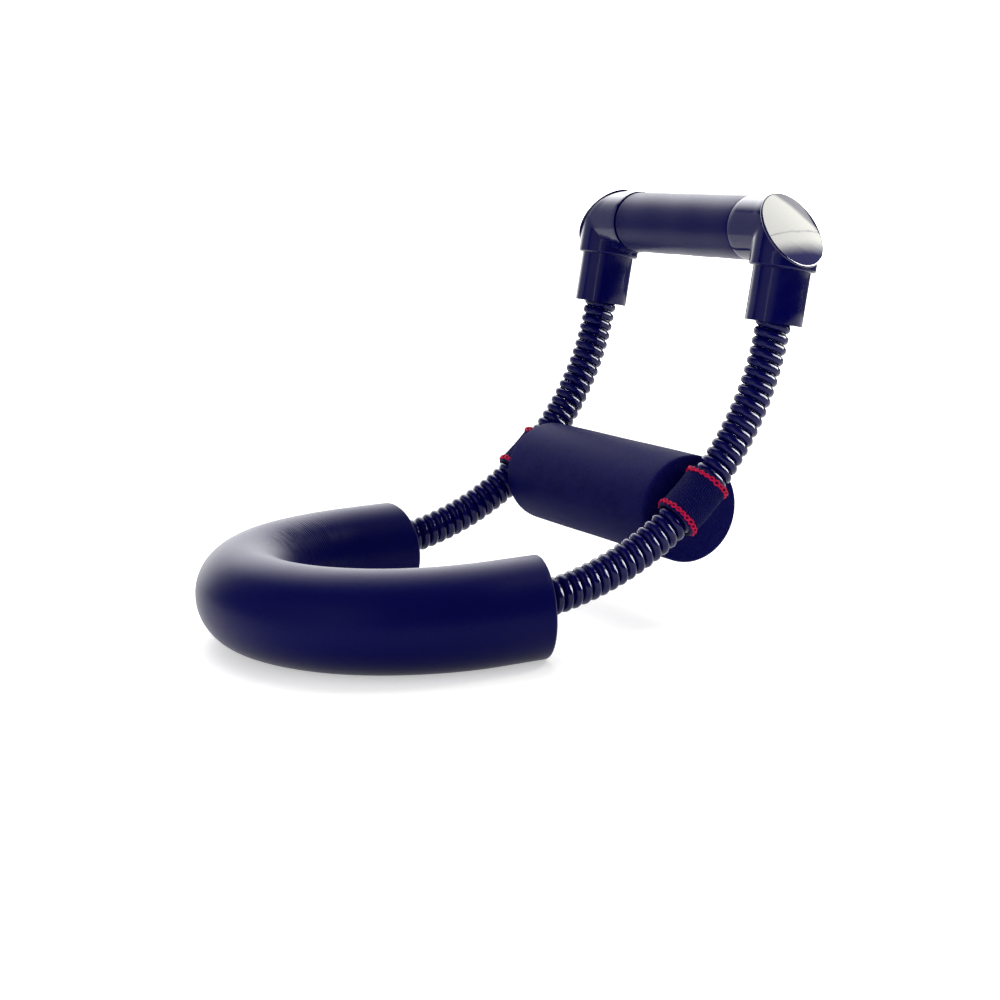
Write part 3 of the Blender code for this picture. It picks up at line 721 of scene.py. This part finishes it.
def band_mesh():
    """Whole band: the course round the right-hand spring and its mirror image."""
    course = band_course()
    section = band_section()
    whole = course + [(-a, i, -na, ni, r) for a, i, na, ni, r in reversed(course)][:-1]
    rings, ribs = [], []
    length = 0.0
    previous = None
    for across, inward, normal_across, normal_inward, ribbed in whole:
        here = Vector((across, inward))
        length += 0.0 if previous is None else (here - previous).length
        previous = here
        ring = []
        for width, thick, face in section:
            depth, rise = thick, -1.0
            if face and ribbed:
                rise = knit(length, width)
                depth += rib_height * ribbed * rise * ease(strap_width / 2 - abs(width), *rib_margin)
            ribs.append(min(1.0, max(0.0, 0.5 + 0.5 * rise)))
            ring.append(band_point(across + normal_across * depth, inward + normal_inward * depth, width))
        rings.append(ring)
    mesh = swept("knitted_strap", rings, crease=80)
    # The rib attribute keeps the ribs' height; the strap's material paints highlight on the loop tops and shade in
    # the grooves from it.
    mesh.attributes.new("rib", "FLOAT", "POINT").data.foreach_set("value", ribs)
    return mesh


yarn, yarn_in, yarn_out = group("yarn", [("Fibre", 3800.0), ("Tuft", 900.0)])
yarn_place = node(yarn, "ShaderNodeTexCoord").outputs["Object"]
fibre = speckle(yarn, yarn_place, yarn_in.outputs["Fibre"], 2.0, 0.7)
tuft = speckle(yarn, yarn_place, yarn_in.outputs["Tuft"], 3.0, 0.6)
yarn_tone = maths(yarn, "MULTIPLY", ramp(yarn, fibre, fibre_span), ramp(yarn, tuft, tuft_span))
yarn.links.new(yarn_tone, yarn_out.inputs["Tone"])
yarn.links.new(fibre, yarn_out.inputs["Height"])

# Painted highlight and painted shade: the colour is lightened on the tops of the loops and left dark in the grooves,
# and lightened more where the fibres are pale.
elastic = finish(
    "black_elastic", dark=(0.0006, 0.0006, 0.056), light=(0.12, 0.125, 0.25), roughness=0.75, specular=0.03,
    effect=yarn, effect_inputs={"Fibre": 3600.0, "Tuft": 1000.0}, bump=0.00006, sheen=(0.12, 0.45))
elastic_tree = elastic.node_tree
rib_rise = node(elastic_tree, "ShaderNodeAttribute", attribute_name="rib").outputs["Fac"]
painted_loop_light = ramp(elastic_tree, rib_rise, painted_light_span)
elastic_mix = next(made for made in elastic_tree.nodes if made.type == "MIX")
tufted = elastic_mix.inputs[0].links[0].from_socket
loop_tone = maths(elastic_tree, "MULTIPLY_ADD", tufted, tuft_share, plain_share)
elastic_tree.links.new(maths(elastic_tree, "MULTIPLY", loop_tone, painted_loop_light), elastic_mix.inputs[0])
strap = shown_piece("knitted_strap", band_mesh(), elastic)
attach(strap, "wrist_support")
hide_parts("support_strap")


# Stitching.  A thick red chain stitch runs along each edge of the strap, round each spring: two
# threads that cross over and under each other, sewn through the band and pulled into it a little.
stitch_inset = 0.0017
stitch_pitch = 0.0050
stitch_steps = 12            # points to a stitch
stitch_sway = 0.00078
stitch_hop = 0.00026
stitch_wobble = 0.55
stitch_turn = 1.42 * math.pi
thread_radius = 0.00041
thread_sides = 8
thread_out = 0.65            # of its radius that the thread's middle stands off the band

red_thread = finish(
    "red_thread", dark=(0.40, 0.001, 0.048), light=(1.0, 0.030, 0.080), roughness=0.55, specular=0.10,
    effect=yarn, effect_inputs={"Fibre": 5200.0, "Tuft": 1500.0}, bump=0.00005)


def stitch_row(edge, phase):
    """Middle line of one thread of a row, round the right-hand spring."""
    lay = band_radius + strap_thickness / 2 + thread_radius * thread_out
    reach = lay * stitch_turn
    count = round(reach / (stitch_pitch / stitch_steps))
    line = []
    for index in range(count + 1):
        turn = -math.pi / 2 + stitch_turn * index / count
        swing = 2 * math.pi * (reach * index / count) / stitch_pitch + phase
        wobble = stitch_wobble * noise.noise(Vector((index * 0.16, phase, edge * 900)))
        width = edge + stitch_sway * (math.sin(swing) + wobble)
        height = lay + stitch_hop * math.sin(2 * swing)
        line.append(band_point(half_spacing + height * math.cos(turn), height * math.sin(turn), width))
    return line


for side, label in ((1, "right"), (-1, "left")):
    stitch_work = bmesh.new()
    for edge in (strap_width / 2 - stitch_inset, -strap_width / 2 + stitch_inset):
        for phase in (0.0, math.pi):
            row = [Vector((side * point.x, point.y, point.z)) for point in stitch_row(edge, phase)]
            row_mesh = swept("row", tube_rings(row, thread_radius, thread_sides, Vector((1, 0, 0))), closed=False)
            stitch_work.from_mesh(row_mesh)
            bpy.data.meshes.remove(row_mesh)
    stitch_mesh = bpy.data.meshes.new("stitching_" + label)
    stitch_work.to_mesh(stitch_mesh)
    stitch_work.free()
    stitch_mesh.shade_smooth()
    stitches = shown_piece("stitching_" + label, stitch_mesh, red_thread)
    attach(stitches, "wrist_support")


# Roller.  A solid foam cylinder with cut ends, slit from end to end for the two layers of the
# strap.  Its foam has no soft skin, so its grain shows more than the sleeve's.
roller_radius = 0.0223
roller_half_length = 0.0604
roller_rim = 0.0014
roller_hollow = 0.004        # share by which its wall draws in at the middle and the ends
roller_sides = 96
roller_wall_end, roller_wall_steps = 0.92, 24
roller_face_ring = 0.5       # share of its radius
slit_clearance = 0.0004
slit_steps = 6               # from the middle of the strap's width to its edge
slit_overrun = 1.1
roller_depth = band_radius - strap_thickness / 2 - layer_gap / 2


def revolved(name, profile, steps, closed=False, crease=40):
    """Solid turned about Z from (radius, height) points that start and end on the axis, or the
    ring whose section they are if it is closed."""
    work = bmesh.new()
    points = [work.verts.new((radius, 0, height)) for radius, height in profile]
    pairs = list(zip(points, points[1:]))
    if closed:
        pairs.append((points[-1], points[0]))
    edges = [work.edges.new(pair) for pair in pairs]
    bmesh.ops.spin(work, geom=points + edges, cent=(0, 0, 0), axis=(0, 0, 1), angle=2 * math.pi, steps=steps,
                   use_merge=True)
    bmesh.ops.remove_doubles(work, verts=work.verts, dist=1e-7)
    return settled_mesh(work, name, crease)


def rounded_end(radius, height, rim, steps=6):
    """Profile points over the rounded edge of an end, from the end face to the wall."""
    turns = [math.pi / 2 * step / steps for step in range(steps + 1)]
    return [(radius - rim + rim * math.sin(turn), height - rim * (1 - math.cos(turn))) for turn in turns]


def wall_parts(end, steps):
    """Shares of a half length from one end of a wall to the other."""
    return [end - 2 * end * index / steps for index in range(steps + 1)]


def axis_matrix(origin, x_axis, z_axis):
    """Matrix that puts a mesh's origin, X and Z where they are asked for."""
    return Matrix.Translation(origin) @ Matrix((x_axis, z_axis.cross(x_axis), z_axis)).transposed().to_4x4()


def settled(made):
    """Apply the modifiers of an object."""
    graph = bpy.context.evaluated_depsgraph_get()
    mesh = bpy.data.meshes.new_from_object(made.evaluated_get(graph))
    made.modifiers.clear()
    made.data = mesh


def slit_cutter():
    """Curved slot for the two layers."""
    near = band_radius + strap_thickness / 2 + slit_clearance
    far = near - 2 * strap_thickness - layer_gap - 2 * slit_clearance
    half_turn = (strap_width / 2 + slit_clearance) / arc_radius
    reach = roller_half_length * slit_overrun
    rings = []
    for index in range(2 * slit_steps + 1):
        slope = strap_slope + half_turn * (index / slit_steps - 1)
        rings.append([on_arc(slope, out, across)
                      for across, out in ((-reach, near), (reach, near), (reach, far), (-reach, far))])
    return swept("slit", rings, closed=False)


roller_walls = [(roller_radius * (1 - roller_hollow * math.cos(math.pi * part) ** 2), roller_half_length * part)
                for part in wall_parts(roller_wall_end, roller_wall_steps)]
roller_top = [(0, roller_half_length), (roller_radius * roller_face_ring, roller_half_length)]
roller_top += rounded_end(roller_radius * (1 - roller_hollow), roller_half_length, roller_rim)
roller_profile = roller_top + roller_walls + [(radius, -height) for radius, height in reversed(roller_top)]
roller_centre = on_arc(strap_slope, roller_depth)
roller_foam = finish(
    "roller_foam_skin", dark=(0.0006, 0.0006, 0.055), light=(0.0130, 0.0125, 0.095), roughness=0.62, specular=0.03,
    effect=foam_skin, effect_inputs={"Grain": 1700.0, "Drift": 120.0}, bump=0.00012, rough_swing=0.12)
roller = shown_piece("foam_roller", revolved("foam_roller", roller_profile, roller_sides), roller_foam,
                     axis_matrix(roller_centre, Vector((0, 0, 1)), Vector((1, 0, 0))))
slit = shown_piece("slit", slit_cutter(), None)
cut = roller.modifiers.new("slit", "BOOLEAN")
cut.solver = "EXACT"
cut.object = slit
settled(roller)
bpy.data.objects.remove(slit)
roller.data.set_sharp_from_angle(angle=math.radians(40))
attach(roller, "wrist_support")
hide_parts("roller_foam")


# Elbows.  Black gloss mouldings: a socket that takes the spring, a step up to a wider body, and a
# leg at right angles that carries the handle.  Socket and leg meet in a mitre, cut off on the
# outside for the cap.
socket_radius = 0.0119
socket_length = 0.0219
socket_levels = (0, 0.33, 0.66, 1.0)
elbow_height = 0.0381
elbow_radius = 0.0138
elbow_reach = 0.024
elbow_sides = 96
elbow_edge = 0.0005
wall_levels = 7
leg_face_ring = 0.006
shoulder_inset = 0.0019
shoulder_rise = 0.0010
shoulder_angles = (0, 12, 30, 50, 70, 90)
mitre = math.radians(50)     # of the cut's normal from the spring's line
mitre_offset = 0.0009        # of the cut outward from the corner
spring_bore = spring_radius + 0.0003
bore_depth = 0.012


def corner_matrix(side):
    """Frame of an elbow: X points out along the handle's axis, Z along the spring."""
    corner = on_arc(end_slope) + elbow_height * uphill(end_slope)
    corner.x = side * half_spacing
    return axis_matrix(corner, Vector((side, 0, 0)), uphill(end_slope))


def elbow_mesh():
    """Elbow in its own frame, all edges sharp; a Bevel modifier rounds them.  Rings that aren't
    upright lie round the handle's line, with X and Z exchanged."""
    work = bmesh.new()
    side_shift = mitre_offset / (math.sin(mitre) + math.cos(mitre))
    turns = [2 * math.pi * index / elbow_sides for index in range(elbow_sides)]
    mouth, step = -elbow_height, -elbow_height + socket_length

    def vertex(out, side, reach, upright):
        return work.verts.new((out, side, reach) if upright else (reach, side, out))

    def ring(radius, reach, upright=True):
        return [vertex(radius * math.cos(turn), radius * math.sin(turn), reach, upright) for turn in turns]

    def walls(start, normal_out, normal_along, upright):
        """Rings of a wall from its start to the mitre, whose normal has these two parts."""
        rings = []
        for index in range(1, wall_levels + 1):
            part = index / wall_levels
            rings.append([])
            for turn in turns:
                across, side = elbow_radius * math.cos(turn), elbow_radius * math.sin(turn)
                place, end = across, across
                if across >= 0:
                    place = across + side_shift * (1 - across / elbow_radius)
                    end = (mitre_offset - place * normal_out) / normal_along
                out = place if index == wall_levels else across
                rings[-1].append(vertex(out, side, start + (end - start) * part, upright))
        return rings

    def skin(loops):
        for ring_a, ring_b in zip(loops, loops[1:]):
            for index in range(elbow_sides):
                after = (index + 1) % elbow_sides
                work.faces.new((ring_a[index], ring_a[after], ring_b[after], ring_b[index]))

    loops = [ring(spring_bore, mouth + depth) for depth in (bore_depth, bore_depth / 2, 0)]
    work.faces.new(loops[0])
    loops += [ring(socket_radius, mouth + socket_length * part) for part in socket_levels]
    loops += [ring(elbow_radius - shoulder_inset * (1 - math.sin(turn)), step + shoulder_rise * (1 - math.cos(turn)))
              for turn in (math.radians(angle) for angle in shoulder_angles)]
    skin(loops + walls(step + shoulder_rise, math.sin(mitre), math.cos(mitre), True))
    leg_loops = [ring(leg_face_ring, -elbow_reach, False), ring(elbow_radius, -elbow_reach, False)]
    work.faces.new(leg_loops[0])
    skin(leg_loops + walls(-elbow_reach, math.cos(mitre), math.sin(mitre), False))
    bmesh.ops.remove_doubles(work, verts=work.verts, dist=1e-6)
    rim = [edge for edge in work.edges if edge.is_boundary]
    bmesh.ops.contextual_create(work, geom=rim)
    return settled_mesh(work, "elbow")


elbow_gloss = finish(
    "elbow_gloss", dark=(0.0006, 0.0005, 0.058), light=(0.003, 0.003, 0.066), roughness=0.12, specular=0.20,
    effect=gloss_skin, effect_inputs={"Ripple": 160.0, "Dust": 70.0}, bump=0.00001, rough_swing=0.10)
for side, label in ((1, "right"), (-1, "left")):
    elbow = shown_piece("gloss_elbow_" + label, elbow_mesh(), elbow_gloss, corner_matrix(side))
    edges = elbow.modifiers.new("edges", "BEVEL")
    edges.width = elbow_edge
    edges.segments = 4
    edges.limit_method = "ANGLE"
    edges.angle_limit = math.radians(32)
    settled(elbow)
    elbow.data.shade_smooth()
    elbow.data.set_sharp_from_angle(angle=math.radians(50))
    gloss_pieces.objects.link(elbow)
    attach(elbow, "handle")
    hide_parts("elbow_" + label)


# Caps.  Oval plates pressed into the mitred corners: a slightly crowned face polished to a mirror,
# with a small rounded edge that stands a hair off the elbow.
cap_radius = 0.0143          # half the plate's width
cap_half_length = 0.0189
cap_rim_height = 0.0011
cap_rim_lift = 0.00004       # of the rounded edge over the crown's
cap_crown = 0.0008
cap_edge = 0.0006
cap_chamfer = 0.0003
cap_boss_radius = 0.0026
cap_boss_length = 0.0022
cap_gap = 0.0003
cap_rings = 24
cap_sides = 160

lower_tip = (elbow_radius, (mitre_offset - elbow_radius * math.sin(mitre)) / math.cos(mitre))
upper_tip = ((mitre_offset - elbow_radius * math.cos(mitre)) / math.sin(mitre), elbow_radius)
cap_middle = Vector(((lower_tip[0] + upper_tip[0]) / 2, 0, (lower_tip[1] + upper_tip[1]) / 2))

face_points = [(cap_radius * part, cap_rim_height + cap_crown * (1 - part * part))
               for part in (index / cap_rings for index in range(cap_rings))]
edge_points = rounded_end(cap_radius, cap_rim_height + cap_rim_lift, cap_edge)
edge_points += [(cap_radius, cap_rim_height * 0.3), (cap_radius - cap_chamfer, 0.0), (cap_boss_radius, 0.0),
                (cap_boss_radius, -cap_boss_length), (0, -cap_boss_length)]
cap_mirror = finish(
    "cap_mirror", dark=(0.0010, 0.0010, 0.058), light=(0.004, 0.004, 0.066), roughness=0.035, specular=0.60,
    effect=gloss_skin, effect_inputs={"Ripple": 220.0, "Dust": 60.0}, bump=0.00001, rough_swing=0.05)
for side, label in ((1, "right"), (-1, "left")):
    cap_mesh = revolved("mirror_cap_" + label, face_points + edge_points, cap_sides, crease=50)
    cap_mesh.transform(Matrix.Scale(cap_half_length / cap_radius, 4, Vector((1, 0, 0))))
    lift = Matrix.Translation(cap_middle) @ Matrix.Rotation(mitre, 4, "Y") @ Matrix.Translation((0, 0, cap_gap))
    cap = shown_piece("mirror_cap_" + label, cap_mesh, cap_mirror, corner_matrix(side) @ lift)
    gloss_pieces.objects.link(cap)
    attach(cap, "handle")
    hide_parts("cap_" + label)


# Handle grip.  A tube of the sleeve's foam with softly rounded ends, pushed over the steel rod
# between the elbows.  Its wall wavers a little along its length.
grip_radius = 0.0134
grip_rim = 0.0012
grip_waver = 0.004           # share of its radius
grip_waver_turn = 9          # radians of the waver over half its length
grip_wall_end, grip_wall_steps = 0.94, 30
grip_gap = 0.0003
grip_sides = 80
rod_bore = 0.0053
grip_half_length = half_spacing - elbow_reach - grip_gap

grip_top = [(rod_bore, grip_half_length), *rounded_end(grip_radius, grip_half_length, grip_rim)]
grip_walls = [(grip_radius * (1 + grip_waver * math.sin(grip_waver_turn * part)), grip_half_length * part)
              for part in wall_parts(grip_wall_end, grip_wall_steps)]
grip_profile = grip_top + grip_walls + [(radius, -height) for radius, height in reversed(grip_top)]
grip_middle = on_arc(end_slope) + elbow_height * uphill(end_slope)
grip = shown_piece("foam_grip", revolved("foam_grip", grip_profile, grip_sides, closed=True), pad_foam,
                   axis_matrix(grip_middle, uphill(end_slope), Vector((1, 0, 0))))
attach(grip, "handle")
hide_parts("grip_foam")


# Steel inside.  The bent tube, the plugs and the handle's rod are plain drawn steel; the pins and
# screws are zinc plated.  Little of them shows, but each keeps its own finish.
drawn_steel = finish(
    "drawn_steel", dark=(0.42, 0.42, 0.44), light=(0.52, 0.52, 0.53), roughness=0.30, metallic=1.0,
    effect=gloss_skin, effect_inputs={"Ripple": 900.0, "Dust": 200.0}, bump=0.00001, rough_swing=0.15)
zinc_plate = finish(
    "zinc_plate", dark=(0.55, 0.55, 0.54), light=(0.68, 0.67, 0.62), roughness=0.26, metallic=1.0,
    effect=gloss_skin, effect_inputs={"Ripple": 1200.0, "Dust": 400.0}, bump=0.00001, rough_swing=0.18)
for name, made in frame["nodes"].items():
    if made.hide_render:
        continue
    made.data.materials.clear()
    made.data.materials.append(zinc_plate if "screw" in name or "pin" in name else drawn_steel)
